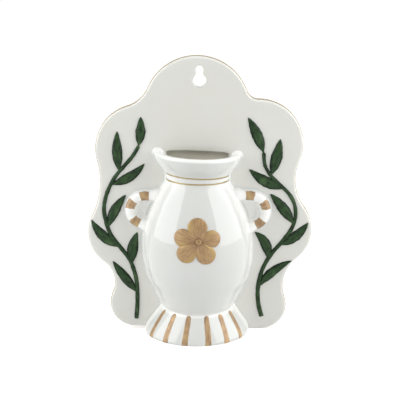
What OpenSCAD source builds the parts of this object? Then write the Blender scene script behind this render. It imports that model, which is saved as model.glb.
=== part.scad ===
// Hanging wall vase: a half urn on a lobed back plate, with handles, a flower and two leafy vines.
// The wall plane is y = 0 and the front faces -Y. +Z is up. The origin is on the back face,
// at the centre of the keyhole's round entry hole.

/* [Back plate] */
// Width of the plate across its hip lobes
plate_w = 169; // [155:1:200]
// Height of the plate
plate_h = 210; // [200:1:240]
// Thickness of the plate
plate_t = 8; // [6:0.5:12]
// Radius of the rounded front edge
edge_round = 2; // [1:0.25:3]
// Height of the plate above the keyhole's centre
crown_rise = 18.2; // [16:0.1:26]
// Radius of the crown lobe at the top
crown_r = 39.7; // [36:0.1:44]
// Width across the shoulder lobes
shoulder_w = 155; // [145:1:170]
// Radius of the shoulder lobes
shoulder_r = 33.5; // [28:0.1:36]
// Width across the base lobes
base_w = 134.6; // [125:0.1:145]
// Radius of the base lobes
base_r = 19.2; // [16:0.1:22]
// Radius of the hip lobes
hip_r = 29.3; // [25:0.1:32]

/* [Keyhole] */
// Radius of the round entry hole, which passes over the screw's head
key_r = 5.4; // [4:0.1:7]
// Radius of the seat at the top, which hangs on the screw's shank
key_seat_r = 3.2; // [2:0.1:3.5]
// Height of the seat's centre above the entry hole's centre
key_rise = 8.4; // [7:0.1:11]
// Width of the slot between the two
key_slot_w = 5.6; // [3:0.1:6]

/* [Urn] */
// Drop from the keyhole's centre to the top of the lip
lip_drop = 53; // [45:0.5:60]
// Outer radius of the lip
lip_r = 31.6; // [29:0.1:35]
// Radius of the lip's round edge
lip_bead_r = 3.6; // [2.5:0.1:4]
// Height of the flare from the neck to the top of the lip
flare_h = 15.5; // [12:0.5:20]
// Radius of the neck
neck_r = 23.6; // [20:0.1:26]
// Height of the neck's straight band
neck_h = 6.5; // [3:0.5:10]
// Greatest radius of the belly
belly_r = 38.8; // [35:0.1:41]
// Level of the greatest radius, as a share of the belly's height down from the neck
belly_peak = 0.54; // [0.4:0.01:0.65]
// Radius at the crease between belly and foot
waist_r = 28.3; // [25:0.1:32]
// Wall thickness of the urn
wall = 4; // [3:0.1:5]
// Thickness of the floor of the pocket
floor_t = 5; // [3:0.5:8]
// Depth that the pocket is sunk into the plate
pocket_sink = 3.5; // [1:0.1:5]
// Rise of the pocket's arched back edge over its ends
mouth_arch = 2.2; // [1:0.1:4]
// Rise of the middle of that edge over the top of the lip
mouth_back_rise = 0.8; // [0:0.1:2]

/* [Foot] */
// Height of the fluted foot
foot_h = 20; // [16:0.5:26]
// Radius of the foot's rim
foot_r = 39.4; // [36:0.1:42]
// Height of the rim's upright band
foot_rim_h = 4.5; // [3:0.5:7]
// Number of flutes
flutes = 6; // [4:1:6]
// Angle from flute to flute
flute_pitch = 22; // [18:0.5:26]
// Half the width of a flute at its top
flute_top_r = 1.7; // [1:0.1:2]
// Half the width of a flute at its bottom
flute_end_r = 2.6; // [2:0.1:3]
// Depth of a flute
flute_deep = 1.1; // [0.6:0.1:1.5]

/* [Handles] */
// Radius of the handle's cord
cord_r = 3.75; // [3:0.05:4.5]
// Height of the cord's centre line in front of the plate
cord_out = 2.2; // [1:0.1:2.5]
// Radius of the handle's bend, to the cord's centre line
bend_r = 10.3; // [8:0.1:12]
// Distance from the urn's axis to the centre of the bend
bend_x = 39.9; // [36:0.1:44]
// Drop from the neck to the centre of the bend
bend_drop = 21.5; // [18:0.5:26]
// Sweep of the bend, in degrees
bend_sweep = 125; // [100:5:140]
// Length of the straight run from the bend down into the urn
root_run = 25; // [20:1:30]

/* [Flower] */
// Level of the flower's centre, as a share of the belly's height down from the neck
flower_level = 0.375; // [0.3:0.005:0.5]
// Distance from the flower's centre to a petal's centre
petal_reach = 9.6; // [8:0.1:11]
// Radius of a petal
petal_r = 7.5; // [6.5:0.1:8]
// Height of a petal's crown over the belly
petal_crown = 1.5; // [0.8:0.1:2.5]
// Height of a petal's rim over the level of its middle
petal_rim = 0.5; // [0.2:0.1:0.7]
// Radius of the round boss in the middle
boss_r = 2.5; // [1.5:0.1:3]
// Height of the boss over the belly
boss_crown = 2.3; // [1:0.1:3]

/* [Vines] */
// Height of the leaves' and stems' relief over the plate
relief = 1.8; // [1:0.1:3]
// Width of a stem at its foot
stem_w = 3.6; // [2.5:0.1:4.5]
// Width of a stem at its tip
stem_tip_w = 1.9; // [1.2:0.1:3]

/* [Hidden] */
$fn = 96;

// Colours
glaze_white = [0.95, 0.96, 0.95];
plate_white = [0.88, 0.88, 0.87];
gold = [0.74, 0.58, 0.38];
stem_green = [0.17, 0.27, 0.17];
leaf_green = [0.22, 0.34, 0.22];

// Overrun of every cutter past the face that it cuts
over = 1;

// Plate outline: lobes counterclockwise from the crown as [x, z, radius]. Each dip between
// two lobes is a concave arc of its own radius, and a dip of 0 is a straight base line.
crown_shift = -2;
shoulder_z = -49.3;
shoulder_stagger = 1.9;
shoulder_shift = -0.2;
hip_z = -114;
hip_stagger = 1;
hip_shift = 0.3;
base_stagger = 1;
base_shift = -1;
plate_bottom = crown_rise - plate_h;
lobes = [
    [crown_shift, crown_rise - crown_r, crown_r],
    [shoulder_r - shoulder_w/2 + shoulder_shift, shoulder_z - shoulder_stagger, shoulder_r],
    [hip_r - plate_w/2 + hip_shift, hip_z - hip_stagger, hip_r],
    [base_r - base_w/2 + base_shift, plate_bottom + base_r + 2*base_stagger, base_r],
    [base_w/2 - base_r + base_shift, plate_bottom + base_r, base_r],
    [plate_w/2 - hip_r + hip_shift, hip_z + hip_stagger, hip_r],
    [shoulder_w/2 - shoulder_r + shoulder_shift, shoulder_z + shoulder_stagger, shoulder_r]
];
dips = [24, 60, 20, 0, 28, 36, 9];
// Longest chord along the outline
outline_chord = 3;
// Rings of the rounded front edge
edge_rings = 5;

// Urn levels, all measured in z
urn_x = -1.4;
lip_z = -lip_drop;
neck_top_z = lip_z - flare_h;
neck_z = neck_top_z - neck_h;
foot_z = plate_bottom;
crease_z = foot_z + foot_h;
peak_z = neck_z - belly_peak*(neck_z - crease_z);
floor_lift = 1;
floor_z = crease_z + floor_lift + floor_t;
seat_r = waist_r - wall;
rim_bevel = 1;
// Drop over which the pocket's wall turns in to the floor
pocket_turn = 3;
// Exponents of the belly's curve above and below its greatest radius
upper_fullness = 2.1;
lower_fullness = 1.7;
belly_rings = 12;
bead_rings = 10;

// The straight runs of a handle lap into its bend, and are slimmer by this much all round
cord_lap = 0.6;
cord_ease = 0.06;

// Flower
flower_z = neck_z - flower_level*(neck_z - crease_z);
petals = 5;
// Depth that petals and boss are drawn into the belly before they are cut to its skin
petal_root = 6;
boss_dome_r = 6;
dish_r = 2.4;
dish_deep = 0.6;

// Vines, drawn in x and z for a plate of this width, with this drop from its hip lobes to its
// bottom, and stretched with it
drawn_w = 169;
drawn_drop = 77.8;
left_route = [
    [-48, -183], [-46.8, -170], [-47.3, -155], [-49.5, -144], [-53, -134], [-60, -124.5], [-66.5, -116],
    [-70, -106], [-71.2, -95.5], [-68.5, -83.5], [-62.5, -72], [-54.5, -63], [-49, -56.5], [-45, -49]
];
right_route = [
    [48, -181.5], [45.3, -172.5], [44.5, -163], [45.5, -154], [48, -145], [51.5, -137.5], [56, -130.5],
    [61.5, -124], [67, -117], [71, -110], [72.7, -102], [71.5, -93], [67.5, -85], [61, -78],
    [54.5, -71.5], [49.5, -63.5], [47.5, -54]
];
// Each leaf is its foot as a place along its route, its tip, its width and how far its middle
// bows to the left of the way up
left_leaves = [
    [13, [-43.4, -26.8], 6.6, 0],
    [10.4, [-59.8, -38.4], 7, 1.8],
    [9.5, [-41.2, -62.2], 6.4, -1.8],
    [6.5, [-55, -86], 7.4, 1.2],
    [5, [-80.2, -105.4], 7, 1.7],
    [3.4, [-47.2, -115.4], 7.4, 1.8],
    [1.6, [-65.8, -137.6], 6.6, 0.8]
];
right_leaves = [
    [16, [36.8, -27.6], 6.6, -0.8],
    [14.1, [59.6, -43.6], 8, -0.6],
    [12.6, [37.4, -66.4], 7, 0.9],
    [9, [54.2, -84.8], 7.6, -0.5],
    [7, [80.8, -107.6], 7, -0.8],
    [5.2, [42.8, -115.5], 6.4, -3.6],
    [2.5, [69.2, -137.4], 6.4, 1.8]
];
leaf_steps = 11;
route_steps = 3;

// Point at an angle on a circle
function polar(centre, r, angle) = [centre.x + r*cos(angle), centre.y + r*sin(angle)];

// Direction from one point to another, in degrees
function bearing(from, to) = atan2(to.y - from.y, to.x - from.x);

// Unit vector from one point to another
function heading(from, to) = [to.x - from.x, to.y - from.y]/norm([to.x - from.x, to.y - from.y]);

// Centre of the concave arc that touches two lobes from outside, on the right of the way between them
function dip_centre(a, b, dip) =
    let (
        gap = norm([b.x - a.x, b.y - a.y]),
        way = heading(a, b),
        along = (gap*gap + pow(a.z + dip, 2) - pow(b.z + dip, 2))/(2*gap),
        aside = sqrt(pow(a.z + dip, 2) - along*along)
    )
    [a.x + along*way.x + aside*way.y, a.y + along*way.y - aside*way.x];

// Points of an arc without its last one, as many as the outer radius asks for
function arc(centre, r, full_r, start, end) =
    let (steps = max(2, ceil(abs(end - start)*PI/180*full_r/outline_chord)))
    [for (i = [0:steps - 1]) polar(centre, r, start + (end - start)*i/steps)];

// The same angle or one turn more, so that it lies past another
function past(angle, other) = angle < other ? past(angle + 360, other) : angle;

// Outline of the plate, drawn in from its edge
function plate_outline(inset) = [
    for (i = [0:len(lobes) - 1])
        let (
            lobe = lobes[i],
            next = lobes[(i + 1)%len(lobes)],
            before = lobes[(i + len(lobes) - 1)%len(lobes)],
            dip_in = dips[(i + len(lobes) - 1)%len(lobes)],
            dip = dips[i],
            start = dip_in == 0 ? -90 : bearing(lobe, dip_centre(before, lobe, dip_in)),
            end = past(dip == 0 ? -90 : bearing(lobe, dip_centre(lobe, next, dip)), start),
            hollow = dip == 0 ? [0, 0] : dip_centre(lobe, next, dip),
            leave = bearing(hollow, lobe),
            meet = bearing(hollow, next)
        )
        each concat(
            arc(lobe, lobe.z - inset, lobe.z, start, end),
            dip == 0
                ? [polar(lobe, lobe.z - inset, -90)]
                : arc(hollow, dip + inset, dip, past(leave, meet), meet)
        )
];

// Radius of the belly at a level between the neck and the crease
function belly_radius(z) =
    z > peak_z
        ? neck_r + (belly_r - neck_r)*(1 - pow(1 - (neck_z - z)/(neck_z - peak_z), upper_fullness))
        : belly_r - (belly_r - waist_r)*pow((peak_z - z)/(peak_z - crease_z), lower_fullness);

// Slope of the belly's side at a level, as the angle that its face looks up
function belly_tilt(z) = atan(belly_radius(z - 0.5) - belly_radius(z + 0.5));

// Belly points in radius and z from the crease up to the neck, for a wall drawn in by inset
function belly_side(inset) = [
    for (i = [0:2*belly_rings])
        let (z = i < belly_rings
            ? crease_z + (peak_z - crease_z)*i/belly_rings
            : peak_z + (neck_z - peak_z)*(i - belly_rings)/belly_rings)
        [belly_radius(z) - inset, z]
];

// Lip: the flare touches the round edge along its outer side
bead = [lip_r - lip_bead_r, lip_z - lip_bead_r];
neck_top = [neck_r, neck_top_z];
flare_turn = bearing(neck_top, bead) - asin(lip_bead_r/norm(bead - neck_top)) - 90;
lip_edge = [for (i = [0:bead_rings]) polar(bead, lip_bead_r, flare_turn + (180 - flare_turn)*i/bead_rings)];
outer_side = concat(belly_side(0), [neck_top], lip_edge);
// Inner side of the pocket, from the lip down to the floor
pocket_side = concat(
    [[bead.x - lip_bead_r, bead.y], [neck_r - wall, neck_top_z]],
    [for (i = [2*belly_rings:-1:0]) if (belly_side(wall)[i].y > floor_z + pocket_turn) belly_side(wall)[i]],
    [[seat_r, floor_z]]
);

// Puts x, z and out-of-the-wall coordinates in their place, out being -Y
module face() {
    rotate([90, 0, 0])
        children();
}

// Puts the urn's parts, drawn around its axis, on the front of the plate
module on_front() {
    translate([urn_x, -plate_t, 0])
        children();
}

// Half of a solid of revolution, in front of the plate
module half_turn() {
    rotate_extrude(angle = 180, start = 180)
        children();
}

// Closed solid through rings of equally many points, with a fan over each end
module loft(rings) {
    count = len(rings[0]);
    last = len(rings) - 1;
    points = concat(
        [for (ring = rings) each ring],
        [sum_points(rings[0])/count, sum_points(rings[last])/count]
    );
    first_hub = count*(last + 1);
    sides = [
        for (i = [0:last - 1], j = [0:count - 1])
            let (a = i*count + j, b = i*count + (j + 1)%count)
            each [[a, b, b + count], [a, b + count, a + count]]
    ];
    fans = [
        for (j = [0:count - 1])
            let (next = (j + 1)%count)
            each [[first_hub, next, j], [first_hub + 1, last*count + j, last*count + next]]
    ];
    polyhedron(points = points, faces = concat(sides, fans), convexity = 6);
}

// Sum of a list of points
function sum_points(list, i = 0) = i == len(list) - 1 ? list[i] : list[i] + sum_points(list, i + 1);

// The outline at one distance out of the wall
function plate_ring(inset, out) = [for (p = plate_outline(inset)) [p.x, p.y, out]];

// Whole space inside the urn's outer skin, which cuts what meets the urn
module urn_envelope() {
    on_front()
        half_turn()
            polygon(concat([[0, crease_z]], outer_side, [[0, bead.y]]));
}

// Pocket sunk into the plate behind the mouth and belly
module pocket_recess() {
    mouth_r = bead.x - lip_bead_r;
    arch_r = (mouth_r*mouth_r + mouth_arch*mouth_arch)/(2*mouth_arch);
    arch_top = lip_z + mouth_back_rise;
    arch = [
        for (i = [0:bead_rings])
            let (x = mouth_r*(2*i/bead_rings - 1))
            [x, arch_top - arch_r + sqrt(arch_r*arch_r - x*x)]
    ];
    on_front()
        face()
            translate([0, 0, -pocket_sink])
                linear_extrude(pocket_sink + over)
                    polygon(concat(
                        arch,
                        pocket_side,
                        [for (i = [len(pocket_side) - 1:-1:0]) [-pocket_side[i].x, pocket_side[i].y]]
                    ));
}

// Keyhole: round entry, slot and seat, right through the plate
module keyhole() {
    face()
        translate([0, 0, -over]) {
            cylinder(r = key_r, h = plate_t + 2*over);
            translate([0, key_rise, 0])
                cylinder(r = key_seat_r, h = plate_t + 2*over);
            translate([-key_slot_w/2, 0, 0])
                cube([key_slot_w, key_rise, plate_t + 2*over]);
        }
}

// Lobed back plate with a rounded front edge
module back_plate() {
    color(plate_white)
        difference() {
            face()
                loft(concat(
                    [
                        for (i = [edge_rings:-1:0])
                            let (turn = 90*i/edge_rings)
                            plate_ring(edge_round*(1 - cos(turn)), plate_t - edge_round*(1 - sin(turn)))
                    ],
                    [plate_ring(0, 0)]
                ));
            keyhole();
            pocket_recess();
        }
}

// Half urn with lip, neck and belly, open behind where it is luted to the plate
module vase_shell() {
    color(glaze_white)
        on_front()
            half_turn()
                polygon(concat(outer_side, pocket_side, [[seat_r, crease_z]]));
}

// Half disc that closes the pocket, let into the shell's foot
module vase_floor() {
    color(glaze_white)
        on_front()
            half_turn()
                translate([0, floor_z - floor_t])
                    square([seat_r, floor_t]);
}

// Round cutter between two points in radius and z
module flute_rod(from, to, r1, r2) {
    translate([from.x, 0, from.y])
        rotate([0, 90 - bearing(from, to), 0])
            cylinder(r1 = r1, r2 = r2, h = norm(to - from), $fn = 48);
}

// Flared foot below the belly, with flutes from the crease down to the rim
module foot_skirt() {
    rim_z = foot_z + foot_rim_h;
    top = [waist_r, crease_z];
    knee = [foot_r, rim_z];
    slope = heading(top, knee);
    outward = [-slope.y, slope.x];
    start = top + outward*(flute_top_r - flute_deep) + slope*flute_top_r;
    bend = knee + outward*(flute_end_r - flute_deep);
    color(glaze_white)
        on_front()
            difference() {
                half_turn()
                    polygon([
                        [seat_r, crease_z],
                        top,
                        knee,
                        [foot_r, foot_z + rim_bevel],
                        [foot_r - rim_bevel, foot_z],
                        [foot_r - rim_bevel - wall, foot_z],
                        [foot_r - rim_bevel - wall, rim_z],
                        [seat_r, crease_z - wall]
                    ]);
                for (i = [0:flutes - 1])
                    rotate([0, 0, -90 + flute_pitch*(i - (flutes - 1)/2)]) {
                        translate([start.x, 0, start.y])
                            sphere(r = flute_top_r, $fn = 48);
                        flute_rod(start, bend, flute_top_r, flute_end_r);
                        translate([bend.x, 0, bend.y])
                            sphere(r = flute_end_r, $fn = 48);
                        flute_rod(bend, [bend.x, foot_z - over], flute_end_r, flute_end_r);
                    }
            }
}

// Section of the handle's cord, flat where it lies on the plate
module cord_section(r) {
    intersection() {
        translate([0, cord_out])
            circle(r = r);
        translate([-r, 0])
            square([2*r, cord_out + r]);
    }
}

// Straight length of cord that sets off from a point in a given direction
module cord_run(from, direction, length) {
    translate([from.x, from.y, 0])
        rotate([0, 0, direction])
            translate([-cord_lap, 0, 0])
                rotate([90, 0, 90])
                    linear_extrude(length + cord_lap)
                        cord_section(cord_r - cord_ease);
}

// Cord of a handle before the urn is cut from it: 0 for the left side and 1 for the right
module handle_cord(side) {
    centre = [-bend_x, neck_z - bend_drop];
    on_front()
        mirror([side, 0, 0])
            face() {
                translate([centre.x, centre.y, 0])
                    rotate_extrude(angle = bend_sweep, start = 90)
                        translate([bend_r, 0])
                            cord_section(cord_r);
                cord_run(polar(centre, bend_r, 90), 0, bend_x);
                cord_run(polar(centre, bend_r, 90 + bend_sweep), bend_sweep + 180, root_run);
            }
}

module handle_left() {
    color(glaze_white)
        difference() {
            handle_cord(0);
            urn_envelope();
        }
}

module handle_right() {
    color(glaze_white)
        difference() {
            handle_cord(1);
            urn_envelope();
        }
}

// Puts a part, drawn around the origin and looking along Z, on the belly's skin
module on_belly(x, z) {
    on_front()
        rotate([0, 0, asin(x/belly_radius(z))])
            translate([0, -belly_radius(z), z])
                rotate([90 - belly_tilt(z), 0, 0])
                    children();
}

// Shaft of the boss, which also makes the hole in the petals
module boss_shaft() {
    on_belly(0, flower_z)
        translate([0, 0, -petal_root])
            cylinder(r = boss_r, h = 2*petal_root);
}

// Petal as a shallow dome, cut to its share of the flower
module petal(number) {
    turn = 90 + 360/petals*(number - 1);
    dome_rise = petal_crown - petal_rim;
    dome_r = (petal_r*petal_r + dome_rise*dome_rise)/(2*dome_rise);
    reach = polar([0, 0], petal_reach, turn);
    side = 3*petal_reach;
    color(gold)
        difference() {
            intersection() {
                on_belly(reach.x, flower_z + reach.y) {
                    intersection() {
                        translate([0, 0, -petal_root])
                            cylinder(r = petal_r, h = 2*petal_root);
                        translate([0, 0, petal_crown - dome_r])
                            sphere(r = dome_r);
                    }
                }
                on_belly(0, flower_z)
                    translate([0, 0, -side/2])
                        linear_extrude(side)
                            polygon([
                                [0, 0],
                                polar([0, 0], side, turn - 180/petals),
                                polar([0, 0], side, turn + 180/petals)
                            ]);
            }
            urn_envelope();
            boss_shaft();
        }
}

// Round boss with a dished top
module flower_centre() {
    color(gold)
        difference() {
            intersection() {
                boss_shaft();
                on_belly(0, flower_z)
                    translate([0, 0, boss_crown - boss_dome_r])
                        sphere(r = boss_dome_r);
            }
            on_belly(0, flower_z)
                translate([0, 0, boss_crown - dish_deep + dish_r])
                    sphere(r = dish_r);
            urn_envelope();
        }
}

// Place on the plate of a point drawn for the vines
function on_plate(p) = [
    p.x*plate_w/drawn_w,
    p.y > hip_z ? p.y : hip_z + (p.y - hip_z)*(hip_z - plate_bottom)/drawn_drop
];

// Domed section of a stem or leaf across its line, from its right foot over the top to its left foot
function sprig_ring(middle, way, half, high) =
    let (across = [-way.y, way.x])
    [
        for (p = [[-1, 0], [-1, 0.35], [-0.55, 0.85], [0, 1], [0.55, 0.85], [1, 0.35], [1, 0]])
            [middle.x + across.x*half*p.x, middle.y + across.y*half*p.x, plate_t + high*p.y]
    ];

// Smooth curve through the points of a route
function route_point(route, t) =
    let (
        i = min(floor(t), len(route) - 2),
        u = t - i,
        a = route[max(i - 1, 0)],
        b = route[i],
        c = route[i + 1],
        d = route[min(i + 2, len(route) - 1)]
    )
    (2*b + (c - a)*u + (2*a - 5*b + 4*c - d)*u*u + (3*b - a - 3*c + d)*u*u*u)/2;

// Half the width of a stem at a step of its route
function stem_half(route, step) =
    (stem_w + (stem_tip_w - stem_w)*step/(route_steps*(len(route) - 1)))/2;

// Direction of a route at a step
function route_way(route, step) =
    let (t = step/route_steps)
    heading(route_point(route, max(t - 0.1, 0)), route_point(route, min(t + 0.1, len(route) - 1)));

// Stem along its route, tapering to its tip
module stem(route) {
    placed = [for (p = route) on_plate(p)];
    face()
        loft([
            for (i = [0:route_steps*(len(route) - 1)])
                sprig_ring(
                    route_point(placed, i/route_steps),
                    route_way(placed, i),
                    stem_half(route, i),
                    0.75*relief
                )
        ]);
}

// Upright block over the width of a stem, which cuts the leaves that meet it
module stem_block(route) {
    placed = [for (p = route) on_plate(p)];
    last = route_steps*(len(route) - 1);
    function side_point(i, side) =
        let (middle = route_point(placed, i/route_steps), way = route_way(placed, i))
        middle + side*stem_half(route, i)*[-way.y, way.x];
    face()
        translate([0, 0, plate_t - over])
            linear_extrude(2*relief + over)
                polygon(concat(
                    [for (i = [0:last]) side_point(i, 1)],
                    [for (i = [last:-1:0]) side_point(i, -1)]
                ));
}

// Leaf from its foot on the stem to its tip, widest near its middle
module leaf_blade(leaf, route) {
    foot = on_plate(route_point(route, leaf[0]));
    tip = on_plate(leaf[1]);
    way = heading(foot, tip);
    control = (foot + tip)/2 + 2*leaf[3]*[-way.y, way.x];
    face()
        loft([
            for (i = [0:leaf_steps])
                let (
                    t = i/leaf_steps,
                    middle = foot*(1 - t)*(1 - t) + control*2*t*(1 - t) + tip*t*t,
                    direction = heading([0, 0], (control - foot)*(1 - t) + (tip - control)*t),
                    fullness = sin(180*pow(t, 0.9)),
                    half = max(leaf[2]/2*pow(fullness, 0.85), t < 0.5 ? stem_tip_w/3 : 0.15)
                )
                sprig_ring(middle, direction, half, relief*(0.45 + 0.55*fullness))
        ]);
}

// Leaf cut to meet its stem, the handle and the urn
module leaf(leaf, route, side) {
    color(leaf_green)
        difference() {
            leaf_blade(leaf, route);
            stem_block(route);
            handle_cord(side);
            urn_envelope();
        }
}

module stem_left() {
    color(stem_green)
        stem(left_route);
}

module stem_right() {
    color(stem_green)
        stem(right_route);
}

back_plate();
vase_shell();
vase_floor();
foot_skirt();
handle_left();
handle_right();
petal(1);  // petal_1
petal(2);  // petal_2
petal(3);  // petal_3
petal(4);  // petal_4
petal(5);  // petal_5
flower_centre();
stem_left();
leaf(left_leaves[0], left_route, 0);  // leaf_left_1
leaf(left_leaves[1], left_route, 0);  // leaf_left_2
leaf(left_leaves[2], left_route, 0);  // leaf_left_3
leaf(left_leaves[3], left_route, 0);  // leaf_left_4
leaf(left_leaves[4], left_route, 0);  // leaf_left_5
leaf(left_leaves[5], left_route, 0);  // leaf_left_6
leaf(left_leaves[6], left_route, 0);  // leaf_left_7
stem_right();
leaf(right_leaves[0], right_route, 1);  // leaf_right_1
leaf(right_leaves[1], right_route, 1);  // leaf_right_2
leaf(right_leaves[2], right_route, 1);  // leaf_right_3
leaf(right_leaves[3], right_route, 1);  // leaf_right_4
leaf(right_leaves[4], right_route, 1);  // leaf_right_5
leaf(right_leaves[5], right_route, 1);  // leaf_right_6
leaf(right_leaves[6], right_route, 1);  // leaf_right_7
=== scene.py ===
import math

import bpy
import bmesh
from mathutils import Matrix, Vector, noise
from mathutils.geometry import delaunay_2d_cdt


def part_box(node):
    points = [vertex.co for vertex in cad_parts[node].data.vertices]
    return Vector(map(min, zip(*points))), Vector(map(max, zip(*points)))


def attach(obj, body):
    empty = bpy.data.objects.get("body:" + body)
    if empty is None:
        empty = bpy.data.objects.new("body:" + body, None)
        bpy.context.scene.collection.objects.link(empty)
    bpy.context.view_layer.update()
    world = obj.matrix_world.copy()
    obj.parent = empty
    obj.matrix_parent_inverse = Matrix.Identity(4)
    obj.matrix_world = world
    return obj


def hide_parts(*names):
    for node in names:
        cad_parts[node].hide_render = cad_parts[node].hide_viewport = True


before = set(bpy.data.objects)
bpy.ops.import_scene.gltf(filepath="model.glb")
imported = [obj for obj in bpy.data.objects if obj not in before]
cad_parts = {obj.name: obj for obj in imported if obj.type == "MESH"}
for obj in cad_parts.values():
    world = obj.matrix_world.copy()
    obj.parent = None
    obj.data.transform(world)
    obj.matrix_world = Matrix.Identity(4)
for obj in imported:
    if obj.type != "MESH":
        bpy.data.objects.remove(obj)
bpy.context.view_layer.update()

# Shapes are worked out in millimetres, in the frame's own axes, and made in metres.
# "out" is the distance out of the wall, so y = -out, and "rise" is a height over the plate's face.
mm = 0.001


def nodeBox(node):
    low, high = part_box(node)
    return [c/mm for c in low], [c/mm for c in high]


plateLow, plateHigh = nodeBox("back_plate")
shellLow, shellHigh = nodeBox("vase_shell")
footLow = nodeBox("foot_skirt")[0]
plateOut = -plateLow[1]
axisX = (shellLow[0] + shellHigh[0])/2
lipZ = shellHigh[2]
creaseZ = shellLow[2]
footZ = footLow[2]
print("stage: frame read, plate", round(plateHigh[0] - plateLow[0], 1), "mm wide")


# Small maths
def mixed(a, b, share):
    return a + (b - a)*share


def clamped(value, low=0.0, high=1.0):
    return max(low, min(high, value))


def eased(low, high, value):
    t = clamped((value - low)/(high - low))
    return t*t*(3 - 2*t)


def distance(a, b):
    return math.hypot(b[0] - a[0], b[1] - a[1])


def between(a, b, share):
    return tuple(mixed(p, q, share) for p, q in zip(a, b))


def polar(centre, r, degrees):
    turn = math.radians(degrees)
    return (centre[0] + r*math.cos(turn), centre[1] + r*math.sin(turn))


def bearing(a, b):
    return math.degrees(math.atan2(b[1] - a[1], b[0] - a[0]))


def wobble(x, z, scale, seed):
    return noise.noise(Vector((x*scale + seed, 0, z*scale - seed)))


def evenly(line, step, closed=False):    # the same line with its points a step apart
    points = list(line) + ([line[0]] if closed else [])
    lengths = [0.0]
    for a, b in zip(points, points[1:]):
        lengths.append(lengths[-1] + distance(a, b))
    count = max(4, round(lengths[-1]/step))
    result = []
    k = 0
    for i in range(count if closed else count + 1):
        goal = lengths[-1]*i/count
        while k < len(points) - 2 and lengths[k + 1] < goal:
            k += 1
        span = max(lengths[k + 1] - lengths[k], 1e-9)
        result.append(between(points[k], points[k + 1], clamped((goal - lengths[k])/span)))
    return result


def softened(line, rounds, closed=False):    # each round takes the corners down a little
    points = [tuple(p) for p in line]
    for _ in range(rounds):
        count = len(points)
        fresh = []
        for i, p in enumerate(points):
            if not closed and i in (0, count - 1):
                fresh.append(p)
                continue
            a = points[i - 1]
            b = points[(i + 1) % count]
            fresh.append(tuple(0.25*u + 0.5*v + 0.25*w for u, v, w in zip(a, p, b)))
        points = fresh
    return points


def sideways(line, closed=False):    # unit normals on the right of the way along a line
    count = len(line)
    result = []
    for i in range(count):
        a = line[i - 1] if closed or i > 0 else line[0]
        b = line[(i + 1) % count] if closed or i < count - 1 else line[-1]
        length = max(distance(a, b), 1e-9)
        result.append(((b[1] - a[1])/length, -(b[0] - a[0])/length))
    return result


def runs(line):    # how far along a line each point lies
    result = [0.0]
    for a, b in zip(line, line[1:]):
        result.append(result[-1] + distance(a, b))
    return result


# A skin is a mesh being made: points in millimetres, faces, and marks, which are numbers kept on
# points for the materials to read
def newSkin():
    return {"points": [], "faces": [], "marks": {}}


def addRing(skin, points, **marks):
    first = len(skin["points"])
    skin["points"] += points
    for name, values in marks.items():
        kept = skin["marks"].setdefault(name, {})
        listed = values if isinstance(values, (list, tuple)) else [values]*len(points)
        for i, value in enumerate(listed):
            kept[first + i] = value
    return list(range(first, first + len(points)))


def joinRings(skin, rings, capped=False):    # faces from ring to ring, and over the ends if capped
    for ringA, ringB in zip(rings, rings[1:]):
        for i in range(len(ringA)):
            j = (i + 1) % len(ringA)
            skin["faces"].append((ringA[i], ringA[j], ringB[j], ringB[i]))
    if capped:
        skin["faces"] += [tuple(rings[0]), tuple(rings[-1])]


def inLoop(point, loop):
    inside = False
    x, z = point
    for (ax, az), (bx, bz) in zip(loop, loop[1:] + loop[:1]):
        if (az > z) != (bz > z) and x < ax + (z - az)*(bx - ax)/(bz - az):
            inside = not inside
    return inside


def flatFill(skin, outer, holes, grid, margin, yAt, **marks):
    # triangles between the loops, with a grid of points inside that yAt() sets in or out
    loops = [outer] + holes
    flat = [[(skin["points"][i][0], skin["points"][i][2]) for i in loop] for loop in loops]
    coords = [Vector(p) for loop in flat for p in loop]
    known = [i for loop in loops for i in loop]
    edges = []
    start = 0
    for loop in flat:
        edges += [(start + i, start + (i + 1) % len(loop)) for i in range(len(loop))]
        start += len(loop)
    lowX, highX = min(p[0] for p in flat[0]), max(p[0] for p in flat[0])
    lowZ, highZ = min(p[1] for p in flat[0]), max(p[1] for p in flat[0])
    edgePoints = [p for loop in flat for p in loop]
    z = lowZ + grid/2
    row = 0
    while z < highZ:
        x = lowX + grid*(0.25 if row % 2 else 0.75)
        while x < highX:
            free = inLoop((x, z), flat[0]) and not any(inLoop((x, z), h) for h in flat[1:])
            if free and min(abs(x - p[0]) + abs(z - p[1]) for p in edgePoints) > margin:
                coords.append(Vector((x, z)))
            x += grid
        z += grid*0.87
        row += 1
    fresh, _, triangles, origins, _, _ = delaunay_2d_cdt(coords, edges, [], 0, 1e-6)
    index = {}
    added = []
    for i, p in enumerate(fresh):
        old = [o for o in origins[i] if o < len(known)]
        if old:
            index[i] = known[old[0]]
        else:
            index[i] = len(skin["points"]) + len(added)
            added.append((p[0], yAt(p[0], p[1]), p[1]))
    addRing(skin, added, **marks)
    for triangle in triangles:
        middle = sum((fresh[i] for i in triangle), Vector((0, 0)))/3
        if inLoop(middle, flat[0]) and not any(inLoop(middle, h) for h in flat[1:]):
            skin["faces"].append(tuple(index[i] for i in triangle))


def intoScene(name, data):
    item = bpy.data.objects.new(name, data)
    bpy.context.scene.collection.objects.link(item)
    return item


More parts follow.
